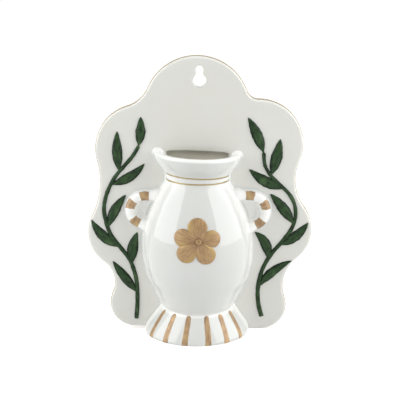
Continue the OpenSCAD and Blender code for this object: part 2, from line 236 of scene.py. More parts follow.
def makePiece(name, skin, material, slot, *nodes):
    mesh = bpy.data.meshes.new(name)
    mesh.from_pydata([tuple(c*mm for c in p) for p in skin["points"]], [], skin["faces"])
    for mark, values in skin["marks"].items():
        layer = mesh.attributes.new(mark, "FLOAT", "POINT")
        for i, value in values.items():
            layer.data[i].value = value
    build = bmesh.new()
    build.from_mesh(mesh)
    bmesh.ops.remove_doubles(build, verts=build.verts, dist=0.002*mm)
    bmesh.ops.recalc_face_normals(build, faces=build.faces)
    for face in build.faces:
        face.smooth = True
    build.to_mesh(mesh)
    build.free()
    mesh.materials.append(material)
    piece = intoScene(name, mesh)
    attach(piece, "root")
    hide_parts(*nodes)


# Node helpers for materials
def feed(tree, socket, value):
    if value is None:
        return
    if isinstance(value, (int, float)):
        socket.default_value = value
    elif isinstance(value, (tuple, list)):
        socket.default_value = tuple(value) + (1.0,)*(4 - len(value))
    else:
        tree.links.new(value, socket)


def maths(tree, operation, *values):
    node = tree.nodes.new("ShaderNodeMath")
    node.operation = operation
    for socket, value in zip(node.inputs, values):
        feed(tree, socket, value)
    return node.outputs[0]


def mixColour(tree, share, a, b):
    node = tree.nodes.new("ShaderNodeMix")
    node.data_type = "RGBA"
    feed(tree, node.inputs["Factor"], share)
    feed(tree, node.inputs[6], a)
    feed(tree, node.inputs[7], b)
    return node.outputs[2]


def smoothStep(tree, value, low, high, outLow=0.0, outHigh=1.0):    # outLow at low, outHigh at high
    node = tree.nodes.new("ShaderNodeMapRange")
    node.interpolation_type = "SMOOTHSTEP"
    for socket, number in zip(node.inputs, (value, low, high, outLow, outHigh)):
        feed(tree, socket, number)
    return node.outputs[0]


def noiseAt(tree, coordinates, scale, detail, roughness):
    node = tree.nodes.new("ShaderNodeTexNoise")
    tree.links.new(coordinates, node.inputs["Vector"])
    node.inputs["Scale"].default_value = scale
    node.inputs["Detail"].default_value = detail
    node.inputs["Roughness"].default_value = roughness
    return node.outputs["Fac"]


def markOf(tree, name):
    node = tree.nodes.new("ShaderNodeAttribute")
    node.attribute_name = name
    return node.outputs["Fac"]


def nearTo(tree, place, near, far, most):    # fades from most to nought away from a place
    node = tree.nodes.new("ShaderNodeVectorMath")
    node.operation = "DISTANCE"
    tree.links.new(tree.nodes.new("ShaderNodeTexCoord").outputs["Object"], node.inputs[0])
    node.inputs[1].default_value = [c*mm for c in place]
    return smoothStep(tree, node.outputs["Value"], near*mm, far*mm, most, 0.0)


def newGroup(name, inputs, outputs):
    group = bpy.data.node_groups.new(name, "ShaderNodeTree")
    for label, kind, value in inputs:
        socket = group.interface.new_socket(name=label, in_out="INPUT", socket_type="NodeSocket" + kind)
        socket.default_value = value
    for label, kind in outputs:
        group.interface.new_socket(name=label, in_out="OUTPUT", socket_type="NodeSocket" + kind)
    return group, group.nodes.new("NodeGroupInput").outputs, group.nodes.new("NodeGroupOutput").inputs


def placed(tree, group, **values):
    node = tree.nodes.new("ShaderNodeGroup")
    node.node_tree = group
    for name, value in values.items():
        feed(tree, node.inputs[name.replace("_", " ")], value)
    return node.outputs


# Dipped glaze: faint mottling, and the slow waves that a poured glaze dries with
def glazeGroup():
    group, given, result = newGroup(
        "dippedGlaze",
        [("Colour", "Color", (0.8, 0.8, 0.8, 1)), ("Thin Colour", "Color", (0.7, 0.7, 0.7, 1)),
         ("Mottle", "Float", 0.5)],
        [("Colour", "Color"), ("Height", "Float"), ("Grain", "Float")],
    )
    where = group.nodes.new("ShaderNodeTexCoord").outputs["Object"]
    broad = noiseAt(group, where, 28, 2, 0.5)
    fine = noiseAt(group, where, 260, 3, 0.6)
    share = maths(group, "MULTIPLY", smoothStep(group, broad, 0.38, 0.66), given["Mottle"])
    group.links.new(mixColour(group, share, given["Colour"], given["Thin Colour"]), result["Colour"])
    waves = noiseAt(group, where, 60, 1, 0.4)
    group.links.new(maths(group, "MULTIPLY_ADD", fine, 0.05, waves), result["Height"])
    group.links.new(smoothStep(group, fine, 0.3, 0.75), result["Grain"])
    return group


# Brushed paint: streaks along the stroke, thick and thin places, and how far its edge wanders
def brushGroup():
    group, given, result = newGroup(
        "brushedPaint",
        [("Light", "Color", (0.6, 0.45, 0.25, 1)), ("Dark", "Color", (0.4, 0.28, 0.15, 1)),
         ("Thin", "Color", (0.7, 0.55, 0.2, 1)), ("Across", "Float", 0.0), ("Along", "Float", 0.0),
         ("Streaks", "Float", 1.0), ("Streak Strength", "Float", 0.6)],
        [("Colour", "Color"), ("Height", "Float"), ("Wander", "Float")],
    )
    where = group.nodes.new("ShaderNodeTexCoord").outputs["Object"]
    stroke = group.nodes.new("ShaderNodeCombineXYZ")
    group.links.new(maths(group, "MULTIPLY", given["Across"], given["Streaks"]), stroke.inputs[0])
    group.links.new(maths(group, "MULTIPLY", given["Along"], 0.12), stroke.inputs[1])
    streak = noiseAt(group, stroke.outputs[0], 1.0, 3, 0.6)
    blotch = noiseAt(group, where, 210, 2, 0.5)
    tone = maths(group, "MULTIPLY_ADD", streak, 0.6, maths(group, "MULTIPLY", blotch, 0.4))
    share = maths(group, "MULTIPLY", smoothStep(group, tone, 0.36, 0.66), given["Streak Strength"])
    colour = mixColour(group, share, given["Light"], given["Dark"])
    thin = smoothStep(group, noiseAt(group, where, 95, 2, 0.5), 0.52, 0.72, 0.0, 0.6)
    group.links.new(mixColour(group, thin, colour, given["Thin"]), result["Colour"])
    group.links.new(tone, result["Height"])
    group.links.new(maths(group, "SUBTRACT", noiseAt(group, where, 420, 2, 0.6), 0.5), result["Wander"])
    return group


glazeNodes = glazeGroup()
brushNodes = brushGroup()

paint = {
    "urn": (0.66, 0.67, 0.645),
    "urnThin": (0.635, 0.65, 0.62),
    # the plate has the urn's glaze, set a little lighter here as painted light, as the flat plate gets
    # less light
    "plate": (0.70, 0.70, 0.655),
    "plateThin": (0.675, 0.68, 0.625),
    "rim": (0.92, 0.925, 0.90),    # white for painted highlights over joints, edges, the lip and inside the handles
    "inside": (0.68, 0.66, 0.575),
    "gold": (0.43, 0.278, 0.142),
    "goldDark": (0.22, 0.13, 0.06),
    "goldThin": (0.52, 0.37, 0.16),
    "petal": (0.40, 0.255, 0.112),
    "petalDark": (0.24, 0.137, 0.06),
    "petalThin": (0.45, 0.315, 0.085),
    "line": (0.37, 0.285, 0.125),
    "lineDark": (0.27, 0.20, 0.08),
    "lineThin": (0.47, 0.39, 0.19),
    "leaf": (0.036, 0.082, 0.029),
    "leafDark": (0.008, 0.017, 0.010),
    "leafThin": (0.080, 0.145, 0.056),
    "mottle": 0.5,
    "grain": 0.035,    # roughness that the fine grain adds
    "glazeRoughness": 0.035,
    "hollowRoughness": 0.5,
    "glazeGloss": 0.72,    # specular level
    "greenGloss": 0.12,    # specular level, as the greens are nearly matt
    "goldRoughness": 0.36,
    "goldMetal": 0.25,
    "strokeHeight": 0.5, "edgeHeight": 0.25,    # shares of the glaze's waves
    "bump": 0.6,
}


def glazed(name, colour, thinColour, dull=1.0):    # starts a material and its glaze
    material = bpy.data.materials.new(name)
    material.use_nodes = True
    tree = material.node_tree
    coat = placed(tree, glazeNodes, Colour=colour, Thin_Colour=thinColour, Mottle=paint["mottle"])
    rough = maths(tree, "MULTIPLY_ADD", coat["Grain"], paint["grain"], paint["glazeRoughness"]*dull)
    tree.nodes["Principled BSDF"].inputs["Specular IOR Level"].default_value = paint["glazeGloss"]
    return {"material": material, "tree": tree, "colour": coat["Colour"], "height": coat["Height"],
            "rough": rough, "metal": None}


def tinted(look, share, colour):
    look["colour"] = mixColour(look["tree"], share, look["colour"], colour)


def brushed(look, name, maskOf, across, along, **values):    # lays a brushed paint over the glaze
    tree = look["tree"]
    stroke = placed(
        tree, brushNodes, Light=paint[name], Dark=paint[name + "Dark"], Thin=paint[name + "Thin"],
        Across=markOf(tree, across), Along=markOf(tree, along), **values,
    )
    if maskOf is None:    # the paint covers the piece
        look["colour"] = stroke["Colour"]
        share = paint["strokeHeight"]
        look["height"] = maths(tree, "MULTIPLY_ADD", stroke["Height"], share, look["height"])
        if name != "leaf":
            look["rough"] = maths(tree, "ADD", look["rough"], paint["goldRoughness"])
            look["metal"] = paint["goldMetal"]
        return
    mask = maskOf(tree, stroke["Wander"])
    look["colour"] = mixColour(tree, mask, look["colour"], stroke["Colour"])
    look["height"] = maths(tree, "MULTIPLY_ADD", mask, paint["edgeHeight"], look["height"])
    look["rough"] = maths(tree, "MULTIPLY_ADD", mask, paint["goldRoughness"], look["rough"])
    gold = maths(tree, "MULTIPLY", mask, paint["goldMetal"])
    look["metal"] = gold if look["metal"] is None else maths(tree, "MAXIMUM", look["metal"], gold)


def dulled(look):    # the glaze gathers in hollows and shines less there
    tree = look["tree"]
    hollow = markOf(tree, "hollow")
    look["rough"] = maths(tree, "MULTIPLY_ADD", hollow, paint["hollowRoughness"], look["rough"])


def finished(look, waves=0.35):
    tree = look["tree"]
    shader = tree.nodes["Principled BSDF"]
    tree.links.new(look["colour"], shader.inputs["Base Color"])
    tree.links.new(look["rough"], shader.inputs["Roughness"])
    feed(tree, shader.inputs["Metallic"], look["metal"])
    bump = tree.nodes.new("ShaderNodeBump")
    bump.inputs["Strength"].default_value = paint["bump"]
    bump.inputs["Distance"].default_value = waves*mm
    tree.links.new(look["height"], bump.inputs["Height"])
    tree.links.new(bump.outputs["Normal"], shader.inputs["Normal"])
    return look["material"]


def gilded(name, mask, across, along, streaks, strength):    # white glaze with gold brushed over it
    look = glazed(name, paint["urn"], paint["urnThin"])
    # painted highlight in white over the joints with the plate, on the handles' inner side and along the
    # foot's top
    tinted(look, markOf(look["tree"], "pool"), paint["rim"])
    brushed(look, "gold", mask, across, along, Streaks=streaks, Streak_Strength=strength)
    dulled(look)
    return finished(look)


def strokeMask(mark, reach, ragged, soft=0.12):    # 1 where the mark, in mm, is under its reach
    def maskOf(tree, wander):
        value = maths(tree, "MULTIPLY_ADD", wander, ragged, markOf(tree, mark))
        return smoothStep(tree, value, reach + soft, reach - soft)
    return maskOf


def lineMask(mark, half, ragged, soft=0.1):    # 1 where the mark is near nought
    def maskOf(tree, wander):
        value = maths(tree, "ABSOLUTE", markOf(tree, mark))
        value = maths(tree, "MULTIPLY_ADD", wander, ragged, value)
        value = maths(tree, "MULTIPLY_ADD", markOf(tree, "lineEnd"), 6.0, value)
        return smoothStep(tree, value, half + soft, half - soft)
    return maskOf


print("stage: glaze and brush groups made")


# Back plate
plateShape = {
    "lobes": [    # x, z and radius, counterclockwise from the crown
        (-2, -21.5, 39.7), (-44.2, -51.2, 33.5), (-54.9, -115, 29.3), (-49.1, -170.6, 19.2),
        (47.1, -172.6, 19.2), (55.5, -113, 29.3), (43.8, -47.4, 33.5),
    ],
    "dips": [24, 60, 20, 0, 28, 36, 9],    # hollows between the lobes, and 0 for the straight base
    "step": 1.3,
    "skin": 0.04,    # kept inside the frame's outline
    "arris": 2.2,
    "arrisRings": 9,
    "backEdge": 0.7,
    "sway": 0.16, "swayScale": 0.022,    # a pressed slab isn't quite flat
    "frontGrid": (4.0, 2.4), "backGrid": (12.0, 4.0), "pocketGrid": (6.0, 3.0),    # spacing, margin
    "keyR": 4.9, "keySeatR": 2.65, "keyRise": 8.5, "keySlot": 2.55, "keySoft": 1.0,
    "pocketDeep": 3.5, "pocketArch": 0.9, "pocketRise": 0.4, "pocketSoft": 1.3,
    "pocketStep": 1.2, "pocketShade": 0.8,    # its rounded edge takes this much of the inside's colour
    "goldLow": -4.6, "goldHigh": 0.8,    # the gold line, in mm across the edge
    "goldLap": 0.6,    # and how much further it laps round the sides
    "goldRagged": 0.9,
    "highlightAt": 1.9, "highlightMost": 0.55, "highlightSide": 0.85,    # the painted highlight on the rounded edge: where, how strong, and how much less on the sides
}

# The urn's and the handles' settings stand here, as the plate's hollow and glaze follow them too
urnShape = {
    "spread": lambda z: stretch(z),
    "lipR": 31.5, "mouthR": 25.0, "flareH": 15.5, "bulge": 1.0, "neckR": 23.6, "neckH": 6.5,
    "bellyR": 38.8, "peak": 0.54, "waistR": 28.3, "wall": 4.0,
    "upperFull": 2.1, "lowerFull": 1.7,
    "floorLift": 6.0, "pocketTurn": 3.0,
    "tuck": 1.4,    # the belly goes this far down into the foot
    "wider": [    # level, and how far each side stands out past a half circle
        (-72, 0.0), (-90, 0.9), (-101, 1.7), (-113, 2.5), (-125, 2.6), (-136, 2.6), (-148, 2.0),
        (-159, -0.2), (-167, -1.3), (-171, -1.7),
    ],
    "fillet": 1.9, "lipFillet": 2.6,
    "innerFillet": 0.9, "joint": 1.3, "step": 0.8, "softRounds": 3, "arcSteps": 84,
    "slope": 0.035,    # its rings run down to the right
    "lineA": (-68.6, -0.0145), "lineB": (-72.8, 0.010),    # level and tilt of the gold lines
    "lineHalf": 0.6, "lineRagged": 0.5,
}

handleShape = {
    "bends": {
        "left": {"centre": (-41.3, -96.6), "r": 10.8, "patches": [88, 154, 231]},
        "right": {"centre": (38.2, -97.2), "r": 11.7, "patches": [88, 157, 233]},
    },
    "sweep": 248,    # degrees at which the bend turns into the straight run down
    "cordR": 3.75,
    "cordOut": 2.2,
    "fillet": 1.7,
    "innerFillet": 3.6,    # the glaze fills the inside of the bend
    "joint": 1.0,
    "flare": 0.3,
    "flareRun": 5.0,
    "intoBelly": 2.2,
    "patchHalf": 3.25,
    "patchSide": 3.4,
    "patchRagged": 1.5,
    "streaks": (0.45, 0.9),    # how close the brush streaks lie, and how dark they are
    "bendLightOut": 3.0, "bendLight": (8.0, 14.0, 0.6),    # painted light on the plate inside the bend, over its shade: how far out its centre lies, then full to, none from, how much
    "innerHigh": 2.0, "innerHighlight": 0.8,    # painted highlight on its inner side up to this height, and how strong
    "step": 0.6, "bendSteps": 40, "reachStep": 0.3,
}

neckTopZ = lipZ - urnShape["flareH"]
neckZ = neckTopZ - urnShape["neckH"]
peakZ = neckZ - urnShape["peak"]*(neckZ - creaseZ)
floorTopZ = creaseZ + urnShape["floorLift"]


def bellyRadius(z):
    shape = urnShape
    if z > neckZ:
        return shape["neckR"]
    if z > peakZ:
        t = (neckZ - z)/(neckZ - peakZ)
        return mixed(shape["neckR"], shape["bellyR"], 1 - (1 - t)**shape["upperFull"])
    return mixed(shape["bellyR"], shape["waistR"], ((peakZ - z)/(peakZ - creaseZ))**shape["lowerFull"])


def urnSlope(z):
    return urnShape["slope"]*clamped((z - footZ)/(lipZ - footZ))


def stretch(z):    # the belly is a little wider than it is deep
    rows = urnShape["wider"]
    for (highZ, a), (lowZ, b) in zip(rows, rows[1:]):
        if z > lowZ:
            return 1 + mixed(a, b, eased(0, 1, clamped((highZ - z)/(highZ - lowZ))))/bellyRadius(z)
    return 1 + rows[-1][1]/bellyRadius(z)


def filletOf(z):
    return mixed(urnShape["fillet"], urnShape["lipFillet"], eased(neckTopZ, lipZ - 4, z))


def jointHighlight(rise, start=5.0, end=25.0):    # painted highlight over the joint with the plate, which lightens the shade there
    return eased(0.1, 1.7, rise)*(1 - eased(start, end, rise))


def outerSide():    # from inside the foot, up the belly and over the lip
    shape = urnShape
    side = [(bellyRadius(creaseZ) - shape["tuck"], creaseZ - shape["tuck"])]
    side += [(bellyRadius(z), z) for z in (mixed(creaseZ, neckZ, k/48) for k in range(49))]
    for k in range(11):    # flare, a little full in its middle
        t = k/10
        r = mixed(shape["neckR"], shape["lipR"], t) + shape["bulge"]*math.sin(math.pi*t)
        side.append((r, mixed(neckTopZ, lipZ - 1.7, t)))
    rim = [(shape["lipR"] - 0.3, -0.6), (shape["lipR"] - 1.4, 0.0), (shape["mouthR"] + 2.4, 0.0)]
    rim += [(shape["mouthR"] + 0.7, -0.8), (shape["mouthR"], -2.4)]
    return side + [(r, lipZ + z) for r, z in rim]


def pocketSide():    # from the mouth down to the floor of the pocket
    shape = urnShape
    side = [(shape["mouthR"], lipZ - 3.6), (shape["neckR"] - shape["wall"], neckTopZ)]
    for k in range(40):
        z = mixed(neckZ, floorTopZ + shape["pocketTurn"], k/39)
        side.append((bellyRadius(z) - shape["wall"], z))
    side.append((shape["waistR"] - shape["wall"], floorTopZ))
    return side


def dipCentre(a, b, dip):
    gap = distance(a, b)
    ux = (b[0] - a[0])/gap
    uz = (b[1] - a[1])/gap
    along = (gap*gap + (a[2] + dip)**2 - (b[2] + dip)**2)/(2*gap)
    aside = math.sqrt((a[2] + dip)**2 - along*along)
    return (a[0] + along*ux + aside*uz, a[1] + along*uz - aside*ux)


def lobeOutline():
    lobes = plateShape["lobes"]
    dips = plateShape["dips"]
    line = []
    for i, lobe in enumerate(lobes):
        before = lobes[i - 1]
        after = lobes[(i + 1) % len(lobes)]
        dip = dips[i]
        start = -90.0 if dips[i - 1] == 0 else bearing(lobe, dipCentre(before, lobe, dips[i - 1]))
        end = -90.0 if dip == 0 else bearing(lobe, dipCentre(lobe, after, dip))
        while end < start:
            end += 360
        line += [polar(lobe, lobe[2], mixed(start, end, k/24)) for k in range(25)]
        if dip:
            hollow = dipCentre(lobe, after, dip)
            leave = bearing(hollow, lobe)
            meet = bearing(hollow, after)
            while leave < meet:
                leave += 360
            line += [polar(hollow, dip, mixed(leave, meet, k/16)) for k in range(1, 16)]
    return evenly(line, plateShape["step"], closed=True)


def keyLoop(soft):    # keyhole's edge, let out by soft
    shape = plateShape
    r = shape["keyR"] + soft
    seatR = shape["keySeatR"] + soft
    half = shape["keySlot"] + soft
    low = math.degrees(math.asin(half/r))
    high = math.degrees(math.asin(min(half/seatR, 1)))
    seat = (0, shape["keyRise"])
    loop = [polar((0, 0), r, mixed(90 + low, 450 - low, k/44)) for k in range(45)]
    loop += [between(loop[44], polar(seat, seatR, high - 90), k/4) for k in (1, 2, 3)]
    loop += [polar(seat, seatR, mixed(high - 90, 270 - high, k/26)) for k in range(27)]
    loop += [between(loop[-1], loop[0], k/4) for k in (1, 2, 3)]
    return softened(loop, 5, closed=True)


def pocketLoop(soft):    # edge of the hollow behind the urn, let out by soft along its arched top
    side = pocketSide()
    mouthR = side[0][0]
    arch = plateShape["pocketArch"]
    archR = (mouthR*mouthR + arch*arch)/(2*arch)
    top = lipZ + plateShape["pocketRise"]
    line = side[::-1]
    for k in range(1, 24):
        x = mouthR*(1 - 2*k/24)
        line.append((x, top - archR + math.sqrt(archR*archR - x*x)))
    line += [(-r, z) for r, z in side]
    line = [(axisX + x, z - urnSlope(z)*x) for x, z in line]
    line = softened(evenly(line, plateShape["pocketStep"], closed=True), 3, closed=True)
    loop = []
    for (x, z), (nx, nz) in zip(line, sideways(line, closed=True)):
        reach = soft*mixed(0.1, 1.0, eased(lipZ - 8, lipZ - 2, z))
        loop.append((x + nx*reach, z + nz*reach))
    return loop


def plateSway(x, z, out):
    return out + plateShape["sway"]*(wobble(x, z, plateShape["swayScale"], 3.1) - 0.3)*eased(3, 7, out)


def buildPlate(material):
    shape = plateShape
    skin = newSkin()
    outline = lobeOutline()
    normals = sideways(outline, closed=True)
    along = runs(outline)

    goldMiddle = (shape["goldLow"] + shape["goldHigh"])/2

    def edgeRing(inset, out, across):
        points = []
        gold = []
        highlight = []
        for (x, z), (nx, nz) in zip(outline, normals):
            px = x - nx*(inset + shape["skin"])
            pz = z - nz*(inset + shape["skin"])
            points.append((px, -plateSway(px, pz, out), pz))
            gold.append(abs(across - goldMiddle - shape["goldLap"]*abs(nx)))
            near = 1 - eased(0.3, 1.8, abs(across - shape["highlightAt"]))
            highlight.append((1 - shape["highlightSide"]*abs(nx))*near)
        return addRing(
            skin, points, edge=across, edgeGold=gold, edgePale=highlight, edgeAlong=along, inside=0.0,
        )

    back = shape["backEdge"]
    arris = shape["arris"]
    sideTop = plateOut - arris
    rings = []
    for k in range(4):
        turn = math.pi/2*k/3
        out = back*(1 - math.cos(turn))
        rings.append(edgeRing(back*(1 - math.sin(turn)), out, out - sideTop))
    for k in range(1, 6):
        out = mixed(back, sideTop, k/6)
        rings.append(edgeRing(0, out, out - sideTop))
    for k in range(shape["arrisRings"] + 1):
        turn = math.pi/2*k/shape["arrisRings"]
        rings.append(edgeRing(arris*(1 - math.cos(turn)), sideTop + arris*math.sin(turn), arris*turn))
    joinRings(skin, rings)

    plain = {"edge": 20.0, "edgeGold": 20.0, "edgePale": 0.0, "edgeAlong": 0.0}    # far from the edge

    def holeRing(loop, out, inside=0.0):
        points = [(x, -plateSway(x, z, out), z) for x, z in loop]
        return addRing(skin, points, inside=inside, **plain)

    def softEdge(loopOf, soft, steps, inside=0.0):    # rings over an opening's rounded edge
        found = []
        for k in range(steps + 1):
            turn = math.pi/2*k/steps
            reach = soft*(1 - math.sin(turn))
            out = plateOut - soft*(1 - math.cos(turn))
            found.append(holeRing(loopOf(reach), out, inside*eased(0.5, 1.0, k/steps)))
        return found

    floorOut = plateOut - shape["pocketDeep"]
    keyRings = softEdge(keyLoop, shape["keySoft"], 6)
    for soft, out in ((0, plateOut/2), (0, 0.5), (0.5, 0)):
        keyRings.append(holeRing(keyLoop(soft), out))
    pocketRings = softEdge(pocketLoop, shape["pocketSoft"], 7, shape["pocketShade"])
    pocketRings.append(holeRing(pocketLoop(0), floorOut, 1.0))
    joinRings(skin, keyRings)
    joinRings(skin, pocketRings)
    def frontAt(x, z):
        return -plateSway(x, z, plateOut)

    fills = [    # outer ring, holes, spacing and margin of the points, where they go, inside or not
        (rings[-1], [keyRings[0], pocketRings[0]], "frontGrid", frontAt, 0.0),
        (rings[0], [keyRings[-1]], "backGrid", lambda x, z: 0.0, 0.0),
        (pocketRings[-1], [], "pocketGrid", lambda x, z: -floorOut, 1.0),
    ]
    for outer, holes, grid, yAt, inside in fills:
        flatFill(skin, outer, holes, *shape[grid], yAt, inside=inside, **plain)
    makePiece("plate", skin, material, "plate_glaze", "back_plate")


def plateGlaze():
    look = glazed("plateGlaze", paint["plate"], paint["plateThin"])
    tree = look["tree"]
    half = (plateShape["goldHigh"] - plateShape["goldLow"])/2
    # painted highlight along the rounded front edge, weaker on the sides
    highlight = maths(tree, "MULTIPLY", markOf(tree, "edgePale"), plateShape["highlightMost"])
    tinted(look, highlight, paint["rim"])
    tinted(look, markOf(tree, "inside"), paint["inside"])
    for bend in handleShape["bends"].values():    # and painted light inside the handles' bends, over their shade
        x, z = bend["centre"]
        place = (x, -plateOut - handleShape["bendLightOut"], z)
        tinted(look, nearTo(tree, place, *handleShape["bendLight"]), paint["rim"])
    gold = strokeMask("edgeGold", half, plateShape["goldRagged"])
    brushed(look, "line", gold, "edge", "edgeAlong", Streaks=0.7)
    return finished(look)


buildPlate(plateGlaze())
print("stage: plate with its keyhole and hollow")


# Half urn
def filletAt(depth, fillet):    # how far a soft joint stands off, at a depth in front of the plate
    if depth >= fillet:
        return 0.0
    short = fillet - max(depth, 0.0)
    return fillet - math.sqrt(max(fillet*fillet - short*short, 0.0))


def halfTurn(skin, profile, fillets, shape, marksAt, away=None, sunk=0.25):
    # turns a closed profile of (radius, z) half round in front of the plate
    normals = sideways(profile, closed=True)
    spread = [shape["spread"](z) for r, z in profile]
    depths = [-sunk, 0.0, 0.08, 0.25, 0.5, 0.9, 1.4, 2.0, 2.8, 3.8, 5.0]
    deepest = depths[-1]
    rows = [(True, d, -1) for d in depths]
    rows += [(False, k/shape["arcSteps"], 0) for k in range(1, shape["arcSteps"])]
    rows += [(True, d, 1) for d in reversed(depths)]
    rings = []
    for near, value, side in rows:
        points = []
        marks = {}
        for j, ((r, z), (nr, nz)) in enumerate(zip(profile, normals)):
            if near:
                turn = math.asin(clamped(value/r, -0.95, 0.95))
                lift = filletAt(value, fillets[j])
                if value < 0 and fillets[j] > 0:
                    lift += shape["joint"]    # runs out flat into the plate
                x = side*(r*math.cos(turn)*spread[j] + nr*lift)
                rise = value
            else:
                start = math.asin(deepest/r)
                turn = mixed(start, math.pi - start, value)
                x = -r*math.cos(turn)*spread[j]
                rise = r*math.sin(turn)
                lift = 0.0
            pz = z + nz*lift
            angle = math.degrees(math.atan2(x, max(rise, 0.0)))
            if away:
                inward = away(angle, r, j)
                x -= inward*math.sin(math.radians(angle)) + shape["lean"]*clamped((creaseZ - z)/20)
                rise -= inward*math.cos(math.radians(angle)) if rise > 0 else 0
            pz = max(pz - urnSlope(pz)*x, footZ)
            points.append((axisX + x, -(plateOut + rise), pz))
            for name, mark in marksAt(angle, x, rise, j).items():
                marks.setdefault(name, []).append(mark)
        rings.append(addRing(skin, points, **marks))
    joinRings(skin, rings, capped=True)


def buildUrn(material):
    shape = urnShape
    skin = newSkin()
    foot = [(shape["waistR"] - shape["wall"], creaseZ - shape["tuck"])]
    loop = outerSide() + pocketSide() + foot
    profile = softened(evenly(loop, shape["step"], closed=True), shape["softRounds"], closed=True)
    normals = sideways(profile, closed=True)
    fillets = []
    inside = []
    for (r, z), (nr, nz) in zip(profile, normals):
        low = z < floorTopZ + 1 and nr < 0.4
        fillets.append(0.0 if low else mixed(shape["innerFillet"], filletOf(z), eased(-0.9, 0.7, nr)))
        inside.append((1 - eased(-0.75, -0.25, nr))*eased(0.5, 6, lipZ - z))

    def marksAt(angle, x, rise, j):
        z = profile[j][1]
        outer = normals[j][0] > -0.2
        return {
            # painted highlights: over the joint with the plate, on top of the lip and just above the foot
            "pool": jointHighlight(rise) if outer else 0.0,
            "lip": max(eased(-3.2, -1.0, z - lipZ), 0.7*(1 - eased(0, 3, z - creaseZ)) if outer else 0),
            "lineEnd": 1 - eased(0.4, 2.2, rise),
            "hollow": 1 - eased(0.8, 4.0, rise) if outer else 0.0,
            "inside": inside[j],
            "lineA": z - shape["lineA"][0] - shape["lineA"][1]*x if outer else 50.0,
            "lineB": z - shape["lineB"][0] - shape["lineB"][1]*x if outer else 50.0,
            "around": x,
        }

    halfTurn(skin, profile, fillets, shape, marksAt)
    makePiece("urn", skin, material, "white_glaze", "vase_shell")


def urnGlaze():
    look = glazed("urnGlaze", paint["urn"], paint["urnThin"])
    tree = look["tree"]
    # painted highlight in white where the marks above lie
    tinted(look, maths(tree, "MAXIMUM", markOf(tree, "pool"), markOf(tree, "lip")), paint["rim"])
    tinted(look, markOf(tree, "inside"), paint["inside"])
    for line in ("lineA", "lineB"):
        mask = lineMask(line, urnShape["lineHalf"], urnShape["lineRagged"])
        brushed(look, "line", mask, line, "around", Streaks=1.4)
    dulled(look)
    return finished(look)


buildUrn(urnGlaze())
print("stage: half urn")


# Floor of the pocket keeps its solid
def floorGlaze():
    look = glazed("pocketFloorGlaze", paint["inside"], paint["plateThin"], dull=2.0)
    return finished(look)


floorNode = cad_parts["vase_floor"]
floorNode.data.materials.clear()
floorNode.data.materials.append(floorGlaze())
print("stage: pocket floor")


# Fluted foot
footShape = {
    "spread": lambda z: 1 + 0.025*clamped((creaseZ - z)/(creaseZ - footZ)),
    "side": [(0, 0), (2.3, -3.0), (5.2, -7.2), (8.1, -11.8), (10.1, -16.0), (10.9, -18.8), (10.6, -19.9)],
    "wall": 5.0,
    "fillet": 4.2,
    "joint": 0.6,
    "step": 0.6,
    "softRounds": 4,
    "arcSteps": 400,
    "sunk": 2.2,
    "flutes": [-60, -36.5, -13, 13, 35.2, 57],    # degrees from straight ahead
    "fluteStart": 1.8, "fluteTop": 2.2, "fluteEnd": 2.75, "fluteDeep": 0.9,
    "stripe": 0.86,    # share of a flute's width that the gold covers
    "stripeRagged": 0.8,
    "streaks": (0.6, 0.95),    # how close the brush streaks lie, and how dark they are
    "lean": 0.8,    # stands out further on the left
}


def buildFoot(material):
    shape = footShape
    skin = newSkin()
    waistR = urnShape["waistR"]
    outer = [(waistR - 0.8, creaseZ + 1.2)] + [(waistR + r, creaseZ + z) for r, z in shape["side"]]
    rimR = outer[-1][0]
    under = [(rimR - 1.2, footZ), (rimR - shape["wall"], footZ), (rimR - shape["wall"], footZ + 5)]
    under += [(waistR - urnShape["wall"], creaseZ - 4), (waistR - urnShape["wall"], creaseZ + 1.2)]
    profile = softened(evenly(outer + under, shape["step"], closed=True), shape["softRounds"], closed=True)
    normals = sideways(profile, closed=True)
    down = [creaseZ - z for r, z in profile]
    reach = creaseZ - footZ
    fillets = [shape["fillet"]*eased(-0.6, 0.2, nr) for nr, nz in normals]

    def fromFlute(angle, r, j):
        lateral = min(abs(math.radians(angle - flute))*r for flute in shape["flutes"])
        above = max(shape["fluteStart"] - down[j], 0.0)
        half = mixed(shape["fluteTop"], shape["fluteEnd"], clamped(down[j]/reach))
        return math.hypot(lateral, above), half

    def away(angle, r, j):
        if normals[j][0] < -0.3:
            return 0.0
        near, half = fromFlute(angle, r, j)
        return shape["fluteDeep"]*max(1 - (near/half)**2, 0)**0.8

    def marksAt(angle, x, rise, j):
        r = profile[j][0]
        near, half = fromFlute(angle, r, j)
        flute = min(shape["flutes"], key=lambda turn: abs(angle - turn))
        return {
            "stripe": near - half*shape["stripe"],
            "stripeAcross": math.radians(angle - flute)*r,
            "stripeAlong": down[j],
            # painted highlight over the joint with the plate and along the foot's top under the belly
            "pool": max(jointHighlight(rise, 4.0, 12.0), 0.7*(1 - eased(0.0, 2.0, down[j]))),
            "hollow": 1 - eased(0.8, 4.0, rise),
        }

    halfTurn(skin, profile, fillets, shape, marksAt, away, shape["sunk"])
    makePiece("foot", skin, material, "white_glaze", "foot_skirt")


def footGlaze():
    mask = strokeMask("stripe", 0.0, footShape["stripeRagged"], 0.16)
    return gilded("footGlaze", mask, "stripeAcross", "stripeAlong", *footShape["streaks"])


buildFoot(footGlaze())
print("stage: fluted foot")


# Handles: rolled cords laid on the plate and into the belly
def offBelly(x, z):    # how far a place on the plate is outside the belly's skin
    return abs(x - axisX) - bellyRadius(z)*stretch(z)


